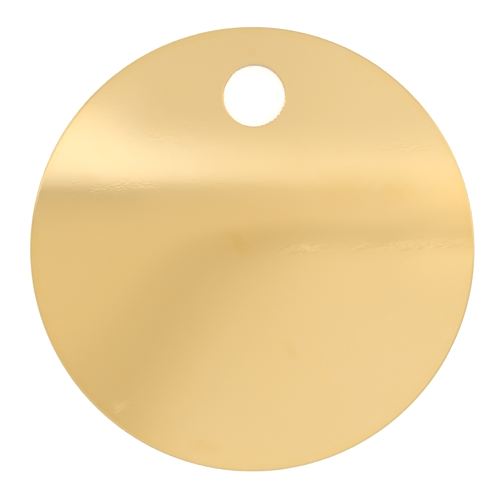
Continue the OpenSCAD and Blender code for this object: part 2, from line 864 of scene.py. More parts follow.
    @classmethod
    def _make_tone(cls) -> None:
        """Makes the plating's colour: warm clouds, smudges and edges, and duller metal where the
        plating is thinned and where the face's painted shade lies.
        """
        bench, given, result = cls._start(
            cls.TONE,
            {"Position": ("NodeSocketVector", None),
             "Plain": ("NodeSocketColor", (1.0, 0.70, 0.30, 1.0)),
             "Warm": ("NodeSocketColor", (1.0, 0.67, 0.26, 1.0)),
             "Worn": ("NodeSocketColor", (0.95, 0.75, 0.45, 1.0)),
             "Edge": ("NodeSocketFloat", 0.0),
             "Wear": ("NodeSocketFloat", 0.0), "Smudges": ("NodeSocketFloat", 0.5),
             "Marks": ("NodeSocketFloat", 0.0)},
            {"Colour": "NodeSocketColor", "Clouds": "NodeSocketFloat"})
        place = given.outputs["Position"]
        wide = bench.grain(place, cls.WIDE_GRAIN, detail=3.0, roughness=0.55)
        small = bench.grain(place, cls.SMALL_GRAIN)
        clouds = bench.span(bench.total(bench.product(wide, cls.WIDE_SHARE),
                                        bench.product(small, 1.0 - cls.WIDE_SHARE)), *cls.CLOUD_EDGES)
        drawn = bench.scaled(place, cls.SMUDGE_GRAIN, cls.SMUDGE_TURN)
        smears = bench.span(bench.grain(drawn, 1.0, detail=3.0, roughness=0.6), *cls.SMUDGE_EDGES)
        warmth = bench.total(bench.product(clouds, cls.CLOUD_WARMTH),
                             bench.product(given.outputs["Edge"], bench.span(small, *cls.EDGE_FRAY)),
                             bench.product(smears, given.outputs["Smudges"]),
                             bench.product(given.outputs["Marks"], cls.MARK_WARMTH))
        plating = bench.blend(bench.maths("MINIMUM", warmth, 1.0), given.outputs["Plain"],
                              given.outputs["Warm"])
        # On the polished face this duller colour also paints shade at the top of the hole, besides
        # thinned plating
        thin = bench.product(given.outputs["Wear"], bench.span(small, *cls.WEAR_FRAY))
        bench.feed(result.inputs["Colour"], bench.blend(thin, plating, given.outputs["Worn"]))
        bench.feed(result.inputs["Clouds"], bench.maths("MAXIMUM", clouds, smears))


# Finishes


@dataclass(frozen=True)
class GoldFinish:
    """What the two gold finishes share: the shader, and the way to place a shared effect.

    Attributes:
        name: Name of the material.
        plain: Colour of most of the plating.
        warm: Colour of its warmer clouds and edges.
        worn_and_shaded: Colour where the plating is thinned by rubbing, and on the polished face also
            of the painted shade at the top of the hole.
        roughness: Roughness of the cleanest metal.
        cloud_roughness: Roughness that the clouds add.
        mark_roughness: Roughness that hairlines and pits add.
        relief: Depth that one step of the height stands for.
        hairlines: Strength of the hairlines.
        pits: Strength of the pinpricks.
        smudges: Strength of the smudges.
    """

    name: str
    plain: Colour
    warm: Colour
    worn_and_shaded: Colour
    roughness: float
    cloud_roughness: float
    mark_roughness: float
    relief: float
    hairlines: float
    pits: float
    smudges: float

    def place(self, bench: NodeBench, group: str, **values: object) -> bpy.types.Node:
        """Places a shared effect in the material.

        Args:
            bench: The material's bench.
            group: The effect's name.
            **values: Values or sockets for its inputs, by name.

        Returns:
            The group node.
        """
        made = bench.node("Group", node_tree=Workshop.group(group))
        for label, value in values.items():
            bench.feed(made.inputs[label], value)
        return made

    def marks(self, bench: NodeBench, place: object) -> bpy.types.Node:
        """Places the finish's hairlines and pinpricks."""
        return self.place(bench, Workshop.MARKS, Position=place, Hairlines=self.hairlines,
                          Pits=self.pits)

    def tone(self, bench: NodeBench, place: object, marks: bpy.types.Node, edge: object,
             wear_and_shade: object) -> bpy.types.Node:
        """Places the plating's colour.

        Args:
            bench: The material's bench.
            place: Place on the surface.
            marks: The node of the hairlines and pinpricks.
            edge: Where the colour is that of an edge.
            wear_and_shade: Where the plating is thinned, and on the polished face also where shade is
                painted.

        Returns:
            The group node.
        """
        return self.place(bench, Workshop.TONE, Position=place, Plain=self.plain, Warm=self.warm,
                          Worn=self.worn_and_shaded, Edge=edge, Smudges=self.smudges, Wear=wear_and_shade,
                          Marks=marks.outputs["Mask"])

    def metal(self, bench: NodeBench, colour: object, roughness: object, height: object,
              bare: object = 1.0) -> None:
        """Adds the metal shader and its relief.

        Args:
            bench: The material's bench.
            colour: The base colour.
            roughness: The roughness.
            height: The relief's height.
            bare: Share of the metal that lies bare.
        """
        bump = bench.node("Bump")
        bump.inputs["Strength"].default_value = 1.0
        bump.inputs["Distance"].default_value = self.relief
        bench.feed(bump.inputs["Height"], height)
        shader = bench.node("BsdfPrincipled")
        bench.feed(shader.inputs["Metallic"], bare)
        bench.feed(shader.inputs["Base Color"], colour)
        bench.feed(shader.inputs["Roughness"], roughness)
        bench.feed(shader.inputs["Normal"], bump.outputs[0])
        output = bench.node("OutputMaterial")
        bench.feed(output.inputs["Surface"], shader.outputs[0])

    def start(self) -> tuple[bpy.types.Material, NodeBench, bpy.types.NodeSocket]:
        """Starts the material.

        Returns:
            The material, its bench, and the place on the surface.
        """
        material = bpy.data.materials.new(self.name)
        material.use_nodes = True
        bench = NodeBench(material.node_tree)
        return material, bench, bench.node("TexCoord").outputs["Object"]


@dataclass(frozen=True)
class RoughBand:
    """A band of the face where bending or a knock has roughened the skin.

    Attributes:
        line: Where the band lies, up the sheet, at its middle.
        reach: How far it reaches on each side of that line.
        left: Where it ends on the left.
        right: Where it ends on the right.
        fade: Length over which it fades towards both ends.
        strength: Depth of its ripples, as a share of the peel's full depth.
        grain: Number of ripples in a metre.
        stretch: The same along the ripples, as a share.
        turned: Direction of the ripples, in degrees from level.
        slant: How far the band climbs for each step across.
    """

    line: float
    reach: float
    left: float
    right: float
    fade: float
    strength: float
    grain: float
    stretch: float
    turned: float = 0.0
    slant: float = 0.0

    def depth(self, bench: NodeBench, across: object, up: object) -> bpy.types.NodeSocket:
        """Marks the band.

        Args:
            bench: The material's bench.
            across: Place across the sheet.
            up: Place up it.

        Returns:
            The depth of its ripples at each place.
        """
        climb = bench.product(across, self.slant)
        away = bench.maths("ABSOLUTE", bench.maths("SUBTRACT", bench.total(up, -self.line), climb))
        ends = bench.product(bench.span(across, self.left, self.left + self.fade),
                             bench.span(across, self.right, self.right - self.fade))
        return bench.product(bench.span(away, self.reach, 0.0, 0.0, self.strength), ends)


@dataclass(frozen=True)
class Stain:
    """A faint stain on the plating, with a soft and ragged outline.

    Attributes:
        across: Place of its middle across the sheet.
        up: Place of its middle up the sheet.
        half_length: Half of its length.
        half_width: Half of its width.
        turned: Direction of its length, in degrees from level.
        strength: How strong it is in the middle.
        full: Distance from the middle within which it is full, counted in halves of its size.
        gone: Distance at which it has faded away, counted the same way.
    """

    across: float
    up: float
    half_length: float
    half_width: float
    turned: float
    strength: float
    full: float = 0.1
    gone: float = 1.6

    def mask(self, bench: NodeBench, sheet: object, rag: object) -> bpy.types.NodeSocket:
        """Marks the stain.

        Args:
            bench: The material's bench.
            sheet: Place on the sheet.
            rag: Noise around nought that frays the outline.

        Returns:
            Its strength at each place.
        """
        moved = bench.vector("SUBTRACT", sheet, (self.across, self.up, 0.0))
        ellipse = bench.scaled(moved, (1.0 / self.half_length, 1.0 / self.half_width, 0.0),
                               -math.radians(self.turned))
        reach = bench.total(bench.vector("LENGTH", ellipse), rag)
        return bench.span(reach, self.gone, self.full, 0.0, self.strength)


@dataclass(frozen=True)
class PolishedFace(GoldFinish):
    """The polished front, back and rolled edges.

    Attributes:
        edge_width: Width of the warmer band along the rim.
        wear_and_shade_width: Width of the duller line along the rim, where the plating is thin, and of
            the painted shade at the top of the hole.
        top_shade_start: Height over the hole's middle, as a share of its radius, above which the shade
            is painted.
        mark_depth: Depth of hairlines and pinpricks, as a share of one step of the height.
        peel_scale: Number of bumps of the orange peel in a metre, up the disc.
        peel_stretch: The same across the disc, as a share, because rolling drew the bumps out.
        peel_depth: Depth of the orange peel outside the bands, as a share of its full depth.
        coarse: Share of the peel's coarse bumps.
        patchiness: How far the peel is gone between its patches.
        bands: The bands in which it is deeper.
        stain: Colour of the stains.
        fray_grain: Number of grains in a metre of the noise that frays their outlines.
        fray: Strength of that noise.
        stains: The stains.
    """

    name: str = "gold_polished_face"
    plain: Colour = (1.0, 0.703, 0.306)
    warm: Colour = (1.0, 0.685, 0.270)
    # Duller colour of thinned plating along the rim, also used as painted shade at the top of the hole
    worn_and_shaded: Colour = (0.85, 0.675, 0.375)
    roughness: float = 0.024
    cloud_roughness: float = 0.010
    mark_roughness: float = 0.06
    relief: float = 0.0005 * MM
    hairlines: float = 0.25
    pits: float = 0.8
    smudges: float = 0.3
    edge_width: float = 0.30 * MM
    wear_and_shade_width: float = 0.11 * MM
    top_shade_start: float = 0.80
    mark_depth: float = 0.1
    peel_scale: float = 13000.0
    peel_stretch: float = 0.40
    peel_depth: float = 0.12
    coarse: float = 0.2
    patchiness: float = 0.9
    bands: tuple[RoughBand, ...] = (
        RoughBand(line=1.80 * MM, reach=0.34 * MM, left=-9.0 * MM, right=0.2 * MM, fade=3.0 * MM,
                  strength=0.8, grain=20000.0, stretch=0.35, turned=4.0),
        RoughBand(line=1.83 * MM, reach=0.24 * MM, left=-4.2 * MM, right=-0.3 * MM, fade=0.7 * MM,
                  strength=0.6, grain=21000.0, stretch=0.35, turned=-9.0),
        RoughBand(line=-0.05 * MM, reach=0.17 * MM, left=0.4 * MM, right=8.0 * MM, fade=0.8 * MM,
                  strength=11.0, grain=17000.0, stretch=0.50, turned=28.0, slant=0.037),
        RoughBand(line=3.20 * MM, reach=0.30 * MM, left=-3.7 * MM, right=-1.2 * MM, fade=0.7 * MM,
                  strength=0.4, grain=14000.0, stretch=0.50),
        RoughBand(line=3.05 * MM, reach=0.35 * MM, left=3.3 * MM, right=5.7 * MM, fade=0.8 * MM,
                  strength=1.0, grain=12000.0, stretch=0.50, turned=10.0),
        RoughBand(line=-4.66 * MM, reach=0.35 * MM, left=-4.6 * MM, right=-3.4 * MM, fade=0.3 * MM,
                  strength=3.5, grain=18000.0, stretch=1.0))
    stain: Colour = (0.985, 0.668, 0.255)
    fray_grain: float = 3500.0
    fray: float = 1.8
    # Across, up, half length, half width, direction and strength of each
    stains: tuple[Stain, ...] = (
        Stain(-0.34 * MM, 0.12 * MM, 0.46 * MM, 0.17 * MM, -48.0, 0.9),
        Stain(1.12 * MM, -2.97 * MM, 0.34 * MM, 0.17 * MM, -60.0, 0.8),
        Stain(-0.10 * MM, 0.05 * MM, 0.95 * MM, 0.60 * MM, 0.0, 0.45),
        Stain(-2.45 * MM, 3.60 * MM, 1.10 * MM, 0.60 * MM, 0.0, 0.55),
        Stain(2.60 * MM, 1.80 * MM, 0.85 * MM, 0.48 * MM, 0.0, 0.7),
        Stain(4.19 * MM, 1.70 * MM, 0.42 * MM, 0.32 * MM, 20.0, 0.7),
        Stain(3.75 * MM, 0.25 * MM, 0.40 * MM, 0.12 * MM, 0.0, 0.5),
        Stain(-4.73 * MM, 2.07 * MM, 0.30 * MM, 0.14 * MM, 0.0, 0.6),
        Stain(-0.05 * MM, 5.75 * MM, 0.14 * MM, 0.14 * MM, 0.0, 0.7),
        Stain(-1.45 * MM, -5.75 * MM, 0.45 * MM, 0.24 * MM, -15.0, 0.8))

    def edge_distances(self, bench: NodeBench,
                       place: object) -> tuple[bpy.types.NodeSocket, bpy.types.NodeSocket]:
        """Measures how far a place is from the two edges.

        Args:
            bench: The material's bench.
            place: Place on the surface.

        Returns:
            The distance to the rim, and the distance to the hole.
        """
        disc = GoldDisc()
        flat = bench.scaled(place, (1.0, 1.0, 0.0))
        gap = bench.vector("DISTANCE", flat, (0.0, disc.hole_y, 0.0))
        return (bench.maths("SUBTRACT", disc.radius, bench.vector("LENGTH", flat)),
                bench.maths("SUBTRACT", gap, disc.hole_radius))

    def wear_and_shade(self, bench: NodeBench, place: object, to_rim: object,
             to_hole: object) -> bpy.types.NodeSocket:
        """Marks the thinned plating along the rim, and the painted shade at the top of the hole.

        Args:
            bench: The material's bench.
            place: Place on the surface.
            to_rim: Its distance to the rim.
            to_hole: Its distance to the hole.

        Returns:
            The share of thinned plating and painted shade at each place.
        """
        disc = GoldDisc()
        # Painted shade: the band round the top of the hole is darkened in the duller colour, in place
        # of the shadow in the hole
        hole_top = bench.span(bench.parts(place)["Y"], disc.hole_y + disc.hole_radius * self.top_shade_start,
                          disc.hole_y + disc.hole_radius)
        top_shade = bench.product(bench.span(to_hole, self.wear_and_shade_width, 0.0), hole_top)
        return bench.maths("MAXIMUM", bench.span(to_rim, self.wear_and_shade_width, 0.0), top_shade)

    def skin(self, bench: NodeBench, sheet: object) -> bpy.types.NodeSocket:
        """Builds the orange peel and the ripples of the bands.

        Args:
            bench: The material's bench.
            sheet: Place on the sheet, squared to the photograph.

        Returns:
            The height.
        """
        parts = bench.parts(sheet)
        patches = {"Coarse": self.coarse, "Patchiness": self.patchiness}
        peel = self.place(bench, Workshop.PEEL, Scale=self.peel_scale, **patches,
                          Position=bench.scaled(sheet, (self.peel_stretch, 1.0, 1.0)))
        heights = [bench.product(peel.outputs["Height"], self.peel_depth)]
        for band in self.bands:
            drawn = bench.scaled(sheet, (band.stretch, 1.0, 1.0), -math.radians(band.turned))
            ripples = self.place(bench, Workshop.PEEL, Scale=band.grain, Position=drawn, **patches)
            depth = band.depth(bench, parts["X"], parts["Y"])
            heights.append(bench.product(ripples.outputs["Height"], depth))
        return bench.total(*heights)

    def material(self) -> bpy.types.Material:
        """Makes the material.

        Returns:
            The material.
        """
        material, bench, place = self.start()
        to_rim, to_hole = self.edge_distances(bench, place)
        sheet = bench.scaled(place, (1.0, 1.0, 1.0), -PHOTO_TURN)
        marks = self.marks(bench, place)
        edge = bench.span(to_rim, self.edge_width, self.wear_and_shade_width)
        # The duller colour marks thinned plating along the rim and painted shade round the top of the
        # hole
        tone = self.tone(bench, place, marks, edge, self.wear_and_shade(bench, place, to_rim, to_hole))
        noise = bench.grain(sheet, self.fray_grain, detail=3.0)
        rag = bench.product(bench.total(noise, -0.5), self.fray)
        stains = bench.total(*(stain.mask(bench, sheet, rag) for stain in self.stains))
        stained = bench.maths("MINIMUM", stains, 1.0)
        colour = bench.blend(stained, tone.outputs["Colour"], self.stain)
        rough = bench.total(self.roughness,
                            bench.product(tone.outputs["Clouds"], self.cloud_roughness),
                            bench.product(stained, self.cloud_roughness),
                            bench.product(marks.outputs["Mask"], self.mark_roughness))
        scratches = bench.product(marks.outputs["Height"], self.mark_depth)
        self.metal(bench, colour, rough, bench.total(self.skin(bench, sheet), scratches))
        return material


@dataclass(frozen=True)
class CutWall(GoldFinish):
    """The punched walls: burnished and streaked above, torn and duller towards the back.

    Attributes:
        break_height: Height over the table at which the torn part begins.
        break_blur: Height over which it begins.
        streak_scale: Number of streaks in a metre of the edge.
        streak_stretch: The same down the wall, as a share, because the streaks run that way.
        peel_scale: Number of bumps of the torn part in a metre.
        peel_patchiness: How far they are gone between their patches.
        cut_peel: Share of the bumps that is left on the cut part.
        torn_streaks: Share of the streaks that is left on the torn part.
        torn_roughness: Roughness that the torn part adds.
        torn_wear: How thin the plating is on the torn part.
        wave_grain: Number of waves in a metre of the line between the two parts.
        hole_shade: Colour of the painted shade, dark brown, on the hole's wall.
        hole_shade_share: How much of the hole's wall the painted shade covers at most, and where it is
            thin.
        hole_shade_grain: Number of its grains in a metre.
        hole_shade_edges: How its patches pass into each other.
        hole_shade_roughness: Roughness that it adds.
        hole_shade_reach: Distances from the hole's middle, in radii, between which it begins.
    """

    name: str = "gold_cut_wall"
    plain: Colour = (0.88, 0.615, 0.265)
    warm: Colour = (0.58, 0.385, 0.155)
    worn_and_shaded: Colour = (0.90, 0.68, 0.36)
    roughness: float = 0.14
    cloud_roughness: float = 0.05
    mark_roughness: float = 0.15
    relief: float = 0.0012 * MM
    hairlines: float = 0.2
    pits: float = 1.0
    smudges: float = 0.3
    break_height: float = 0.24 * MM
    break_blur: float = 0.05 * MM
    streak_scale: float = 9000.0
    streak_stretch: float = 0.06
    peel_scale: float = 16000.0
    peel_patchiness: float = 0.3
    cut_peel: float = 0.05
    torn_streaks: float = 0.3
    torn_roughness: float = 0.16
    torn_wear: float = 0.2
    wave_grain: float = 1200.0
    # Painted shade on the hole's wall: a dark brown, dull coat in place of the shadow inside the hole
    hole_shade: Colour = (0.30, 0.23, 0.15)
    hole_shade_share: tuple[float, float] = (0.75, 0.45)
    hole_shade_grain: float = 2600.0
    hole_shade_edges: tuple[float, float] = (0.30, 0.60)
    hole_shade_roughness: float = 0.3
    hole_shade_reach: tuple[float, float] = (1.4, 1.2)

    def hole_shading(self, bench: NodeBench, place: object) -> bpy.types.NodeSocket:
        """Marks where painted shade darkens the hole's wall.

        Args:
            bench: The material's bench.
            place: Place on the surface.

        Returns:
            The share that it covers at each place.
        """
        disc = GoldDisc()
        gap = bench.vector("DISTANCE", bench.scaled(place, (1.0, 1.0, 0.0)), (0.0, disc.hole_y, 0.0))
        in_hole = bench.span(gap, *(disc.hole_radius * reach for reach in self.hole_shade_reach))
        thick, thin = self.hole_shade_share
        patches = bench.span(bench.grain(place, self.hole_shade_grain), *self.hole_shade_edges, thin, thick)
        return bench.product(in_hole, patches)

    def material(self) -> bpy.types.Material:
        """Makes the material.

        Returns:
            The material.
        """
        material, bench, place = self.start()
        peel = self.place(bench, Workshop.PEEL, Position=place, Scale=self.peel_scale,
                          Patchiness=self.peel_patchiness)
        drawn = bench.scaled(place, (1.0, 1.0, self.streak_stretch))
        streaks = bench.grain(drawn, self.streak_scale)
        waves = bench.product(bench.grain(place, self.wave_grain), self.break_blur)
        wavy = bench.total(bench.parts(place)["Z"], waves)
        torn = bench.span(wavy, self.break_height + self.break_blur, self.break_height)
        # Painted shade: the hole's wall is darkened with a patchy dark brown coat
        hole_shaded = self.hole_shading(bench, place)
        tone = self.tone(bench, place, self.marks(bench, place), torn,
                         bench.product(torn, self.torn_wear))
        rough = bench.total(self.roughness, bench.product(torn, self.torn_roughness),
                            bench.product(streaks, self.cloud_roughness),
                            bench.product(hole_shaded, self.hole_shade_roughness))
        lines = bench.product(streaks, bench.span(torn, 0.0, 1.0, 1.0, self.torn_streaks))
        bumps = bench.product(peel.outputs["Height"], bench.span(torn, 0.0, 1.0, self.cut_peel))
        # The painted shade replaces the metal's colour, and its metal share, where the hole's wall is
        # shaded
        colour = bench.blend(hole_shaded, tone.outputs["Colour"], self.hole_shade)
        self.metal(bench, colour, rough, bench.total(lines, bumps), bench.remainder(hole_shaded))
        return material


@dataclass(frozen=True)
class TablePaper:
    """The smooth white paper that the pendant lies on.

    Attributes:
        white: Its colour.
        shade: Colour of its faintly darker fibres.
        fibre_grain: Number of fibres in a metre.
        fibre_edges: How the smoother fibres pass into the rougher ones.
        roughness: Roughness of the smoother and the rougher fibres.
        shine: Level of its reflection.
    """

    white: Colour = (0.90, 0.90, 0.90)
    shade: Colour = (0.88, 0.88, 0.87)
    fibre_grain: float = 900.0
    fibre_edges: tuple[float, float] = (0.2, 0.8)
    roughness: tuple[float, float] = (0.8, 0.95)
    shine: float = 0.1

    def material(self) -> bpy.types.Material:
        """Makes the material.

        Returns:
            The material.
        """
        material = bpy.data.materials.new("white_paper")
        material.use_nodes = True
        bench = NodeBench(material.node_tree)
        place = bench.node("TexCoord").outputs["Object"]
        fibres = bench.grain(place, self.fibre_grain, detail=3.0)
        shader = bench.node("BsdfPrincipled")
        shader.inputs["Specular IOR Level"].default_value = self.shine
        bench.feed(shader.inputs["Base Color"], bench.blend(fibres, self.white, self.shade))
        bench.feed(shader.inputs["Roughness"], bench.span(fibres, *self.fibre_edges, *self.roughness))
        output = bench.node("OutputMaterial")
        bench.feed(output.inputs["Surface"], shader.outputs[0])
        return material


# Studio


@dataclass(frozen=True)
class Screen:
    """A soft box that stands beside the table, or a dark flag that takes light away there.

    Attributes:
        bearing: Direction in which it stands, in degrees from +X towards +Y.
        half_width: Half of its width, in degrees.
        bottom: Height of its lower edge over the horizon, as a sine.
        top: Height of its upper edge.
        level: Brightness that it adds, which is below zero for a flag.
        side_blur: How far its light fades at the sides, as a share of half its width.
        end_blur: How far it fades at the lower and the upper edge.
    """

    bearing: float
    half_width: float
    bottom: float
    top: float
    level: float
    side_blur: float = 0.4
    end_blur: float = 0.05

    def light(self, bench: NodeBench, bearing: object, height: object) -> bpy.types.NodeSocket:
        """Builds the screen's light.

        Args:
            bench: The world's bench.
            bearing: The ray's level direction, of length one.
            height: The ray's height as a sine.

        Returns:
            What it adds to the ray.
        """
        middle = math.radians(self.bearing)
        facing = bench.vector("DOT_PRODUCT", bearing, (math.cos(middle), math.sin(middle), 0.0))
        inner = math.cos(math.radians(self.half_width * (1.0 - self.side_blur)))
        outer = math.cos(math.radians(self.half_width * (1.0 + self.side_blur)))
        lower = bench.span(height, self.bottom - self.end_blur, self.bottom + self.end_blur)
        upper = bench.span(height, self.top + self.end_blur, self.top - self.end_blur)
        return bench.product(lower, upper, bench.span(facing, outer, inner, 0.0, self.level))


@dataclass(frozen=True)
class Spread:
    """A change that grows from nothing to its full amount between two places across the photograph.

    Attributes:
        start: Step at which it starts.
        end: Step at which it is complete.
        amount: The full amount.
    """

    start: float
    end: float
    amount: float = 1.0

    def along(self, bench: NodeBench, across: object) -> bpy.types.NodeSocket:
        """Gives the amount at each step across."""
        return bench.span(across, self.start, self.end, 0.0, self.amount)


def gathered(bench: NodeBench, across: object, spreads: tuple[Spread, ...]) -> bpy.types.NodeSocket:
    """Adds up the amounts of several spreads at each step across."""
    return bench.total(*(spread.along(bench, across) for spread in spreads))


@dataclass(frozen=True)
class Glow:
    """A soft lamp overhead that glows along one line, or a soft shade where its amounts are negative.

    Attributes:
        line: Step up the photograph where it hangs.
        reach: How many steps it spreads from there.
        spreads: How it grows across the photograph.
    """

    line: float
    reach: float
    spreads: tuple[Spread, ...]

    def light(self, bench: NodeBench, across: object, up: object) -> bpy.types.NodeSocket:
        """Builds the glow's light.

        Args:
            bench: The world's bench.
            across: Steps across the photograph.
            up: Steps up it.

        Returns:
            What it adds to the ray.
        """
        offset = bench.maths("DIVIDE", bench.total(up, -self.line), self.reach)
        bell = bench.maths("EXPONENT", bench.product(offset, offset, -1.0))
        return bench.product(bell, gathered(bench, across, self.spreads))


@dataclass(frozen=True)
class Sky:
    """The soft light over the table, as the polished face sees it.

    Straight overhead hang a wide panel, two bright strips, and soft lamps and shades. Their places
    are slopes away from straight up, counted in steps of 0.02, across and up the photograph.

    Attributes:
        lean: Slopes of the table against the unbent disc, which the panels are squared to.
        step: Slope of one step.
        panel: Brightness of the wide panel at each step up the photograph.
        evening: How the panel's shade evens out towards the right.
        even_share: How much it has evened out there.
        even_level: Brightness towards which it evens out.
        squeeze: How much narrower the lower side of the shade is there.
        shade_line: Step up the photograph where the shade is deepest.
        gap: Profile of the gap between the panel and the strip.
        gap_spreads: How that gap deepens towards the left.
        foot: How the wide strip's light rises on its lower side.
        foot_level: Brightness of the wide strip.
        core: How the bright strip on the left rises on its lower side.
        core_spreads: How the bright strip brightens towards the left.
        late: How far down the photograph both rise at the far left, or up where it is negative.
        strip_end: How both fade on the upper side.
        end_spreads: How far down that side shifts towards the left, or up where it is negative.
        strip_fade: How much of the strips' light is gone on the right.
        glows: The soft lamps and shades between them.
        coolness: Share of the cool tint at each step up the photograph, on the left.
        right_coolness: The same on the right.
        far_coolness: Profile of the cool tint that the bright strip adds.
        far_spread: How that tint grows towards the left.
        warm: Tint of the warm light.
        cool: Tint of the cool light.
        walls: Brightness of the room at each height of a ray, as a sine.
        screens: The soft boxes and flags beside the table.
        near_steps: Steps from straight up within which only the panels are seen.
        far_steps: Steps beyond which only the room is seen.
        low_ray: Height of a ray, as a sine, below which its steps no longer grow.
        white: Brightness that the camera sees past the table's end.
    """

    lean: tuple[float, float]
    step: float = 0.02
    panel: Stops = (
        (-6.0, 0.845), (-2.0, 0.84), (-1.2, 0.822), (-0.6, 0.79), (0.0, 0.717), (0.35, 0.686),
        (0.6, 0.70), (1.15, 0.778), (1.8, 0.78), (3.0, 0.80), (4.2, 0.79), (5.0, 0.775))
    evening: Spread = Spread(-0.8, 2.6)
    even_share: float = 0.52
    even_level: float = 0.90
    squeeze: float = 0.7
    shade_line: float = 0.35
    gap: Stops = ((1.50, 0.0), (2.16, 1.0), (2.32, 1.0), (2.66, 0.0))
    gap_spreads: tuple[Spread, ...] = (Spread(-0.3, -1.8, -0.038), Spread(-2.2, -2.9, -0.055))
    foot: Stops = ((2.45, 0.0), (3.17, 1.0))
    foot_level: float = 0.155
    core: Stops = ((2.66, 0.0), (3.20, 1.0))
    core_spreads: tuple[Spread, ...] = (Spread(-0.3, -1.8, 0.03), Spread(-1.3, -3.5, 0.13))
    late: Spread = Spread(-2.6, -3.4, -0.15)
    strip_end: Stops = ((3.26, 1.0), (3.98, 0.0))
    end_spreads: tuple[Spread, ...] = (Spread(-2.3, -3.2, -0.32), Spread(-0.5, -1.5, 0.05))
    strip_fade: float = 0.5
    glows: tuple[Glow, ...] = (
        Glow(line=2.4, reach=1.1, spreads=(Spread(0.3, 1.3, 0.016), Spread(2.0, 3.5, 0.125))),
        Glow(line=0.15, reach=0.40, spreads=(Spread(1.3, 2.2, -0.030), Spread(2.3, 3.0, 0.060))),
        Glow(line=-0.42, reach=0.20, spreads=(Spread(0.2, 1.0, 0.018), Spread(2.2, 3.2, 0.060))),
        Glow(line=0.75, reach=0.30, spreads=(Spread(2.8, 3.4, 0.040),)),
        Glow(line=3.36, reach=0.16, spreads=(
            Spread(-1.8, -1.0, 0.014), Spread(0.5, 2.2, 0.026), Spread(2.8, 3.2, -0.040))),
        Glow(line=0.05, reach=0.20, spreads=(Spread(-1.7, -2.5, 0.06),)),
        Glow(line=4.0, reach=0.25, spreads=(Spread(-2.25, -2.55, 0.045), Spread(-2.75, -3.0, -0.045))),
        Glow(line=3.72, reach=0.16, spreads=(Spread(-2.15, -2.45, -0.022), Spread(-3.0, -3.3, 0.022))),
        Glow(line=2.72, reach=0.25, spreads=(Spread(0.4, 0.0, -0.015), Spread(-2.2, -2.6, 0.015))),
        Glow(line=2.27, reach=0.15, spreads=(Spread(-2.4, -2.8, -0.030),)),
        Glow(line=1.85, reach=0.14, spreads=(Spread(-2.7, -3.1, 0.020),)),
        Glow(line=1.50, reach=0.40, spreads=(Spread(-0.7, -1.2, -0.017), Spread(-2.55, -2.85, 0.017))),
        Glow(line=3.52, reach=0.12, spreads=(Spread(-0.8, -1.2, 0.014), Spread(-2.2, -2.5, -0.034))),
        Glow(line=3.06, reach=0.10, spreads=(Spread(-1.8, -2.1, -0.022),)),
        Glow(line=2.81, reach=0.09, spreads=(Spread(-2.3, -2.9, 0.036), Spread(-3.1, -3.4, -0.020))),
        Glow(line=2.50, reach=0.10, spreads=(Spread(-1.8, -2.1, -0.020), Spread(-2.3, -2.6, 0.015))),
        Glow(line=0.70, reach=0.18, spreads=(Spread(-1.0, -0.5, 0.014),)),
        Glow(line=0.10, reach=0.12, spreads=(Spread(-0.9, 0.0, -0.015),)),
        Glow(line=-0.12, reach=0.12, spreads=(Spread(-0.9, -0.2, 0.018), Spread(0.8, 1.2, -0.018))),
        Glow(line=0.50, reach=0.14, spreads=(Spread(-2.75, -3.0, 0.020),)),
        Glow(line=0.20, reach=0.12, spreads=(Spread(-2.35, -2.7, 0.030),)))
    coolness: Stops = (
        (-6.0, 0.55), (-0.8, 0.48), (0.0, 0.22), (0.35, 0.02), (0.7, 0.02), (1.5, 0.12), (2.0, 0.20),
        (2.5, 0.36), (3.2, 1.0), (3.45, 0.96), (3.7, 0.74), (4.1, 0.70), (5.0, 0.70))
    right_coolness: Stops = (
        (-6.0, 0.70), (-1.1, 0.74), (-0.7, 0.68), (0.0, 0.38), (0.4, 0.32), (1.5, 0.36), (2.4, 0.40),
        (2.8, 0.52), (3.4, 0.92), (4.1, 0.80), (5.0, 0.75))
    far_coolness: Stops = (
        (1.95, 0.0), (2.35, 0.26), (2.8, 0.40), (3.15, 0.62), (3.45, 0.62), (3.8, 0.35), (4.1, 0.0))
    far_spread: Spread = Spread(-0.6, -2.8)
    warm: Colour = (1.0, 0.964, 0.833)
    cool: Colour = (1.0, 1.054, 1.233)
    walls: Stops = (
        (0.0, 0.40), (0.12, 0.46), (0.20, 0.58), (0.28, 0.86), (0.36, 0.64), (0.44, 0.58), (0.52, 0.88),
        (0.60, 0.80), (0.67, 0.58), (0.75, 0.76), (0.82, 0.72), (0.906, 0.75), (1.0, 0.79))
    screens: tuple[Screen, ...] = (
        Screen(bearing=18.0, half_width=20.0, bottom=0.50, top=1.2, level=0.28),
        Screen(bearing=154.0, half_width=12.0, bottom=0.50, top=1.2, level=0.28),
        Screen(bearing=280.0, half_width=24.0, bottom=0.50, top=1.2, level=0.04),
        Screen(bearing=205.0, half_width=42.0, bottom=0.60, top=1.2, level=-0.07),
        Screen(bearing=25.0, half_width=30.0, bottom=0.10, top=0.35, level=0.55),
        Screen(bearing=115.0, half_width=22.0, bottom=0.10, top=0.35, level=0.45),
        Screen(bearing=185.0, half_width=26.0, bottom=0.10, top=0.35, level=0.35),
        Screen(bearing=300.0, half_width=18.0, bottom=0.10, top=0.35, level=0.35))
    near_steps: float = 7.0
    far_steps: float = 11.0
    low_ray: float = 0.05
    white: float = 1.6

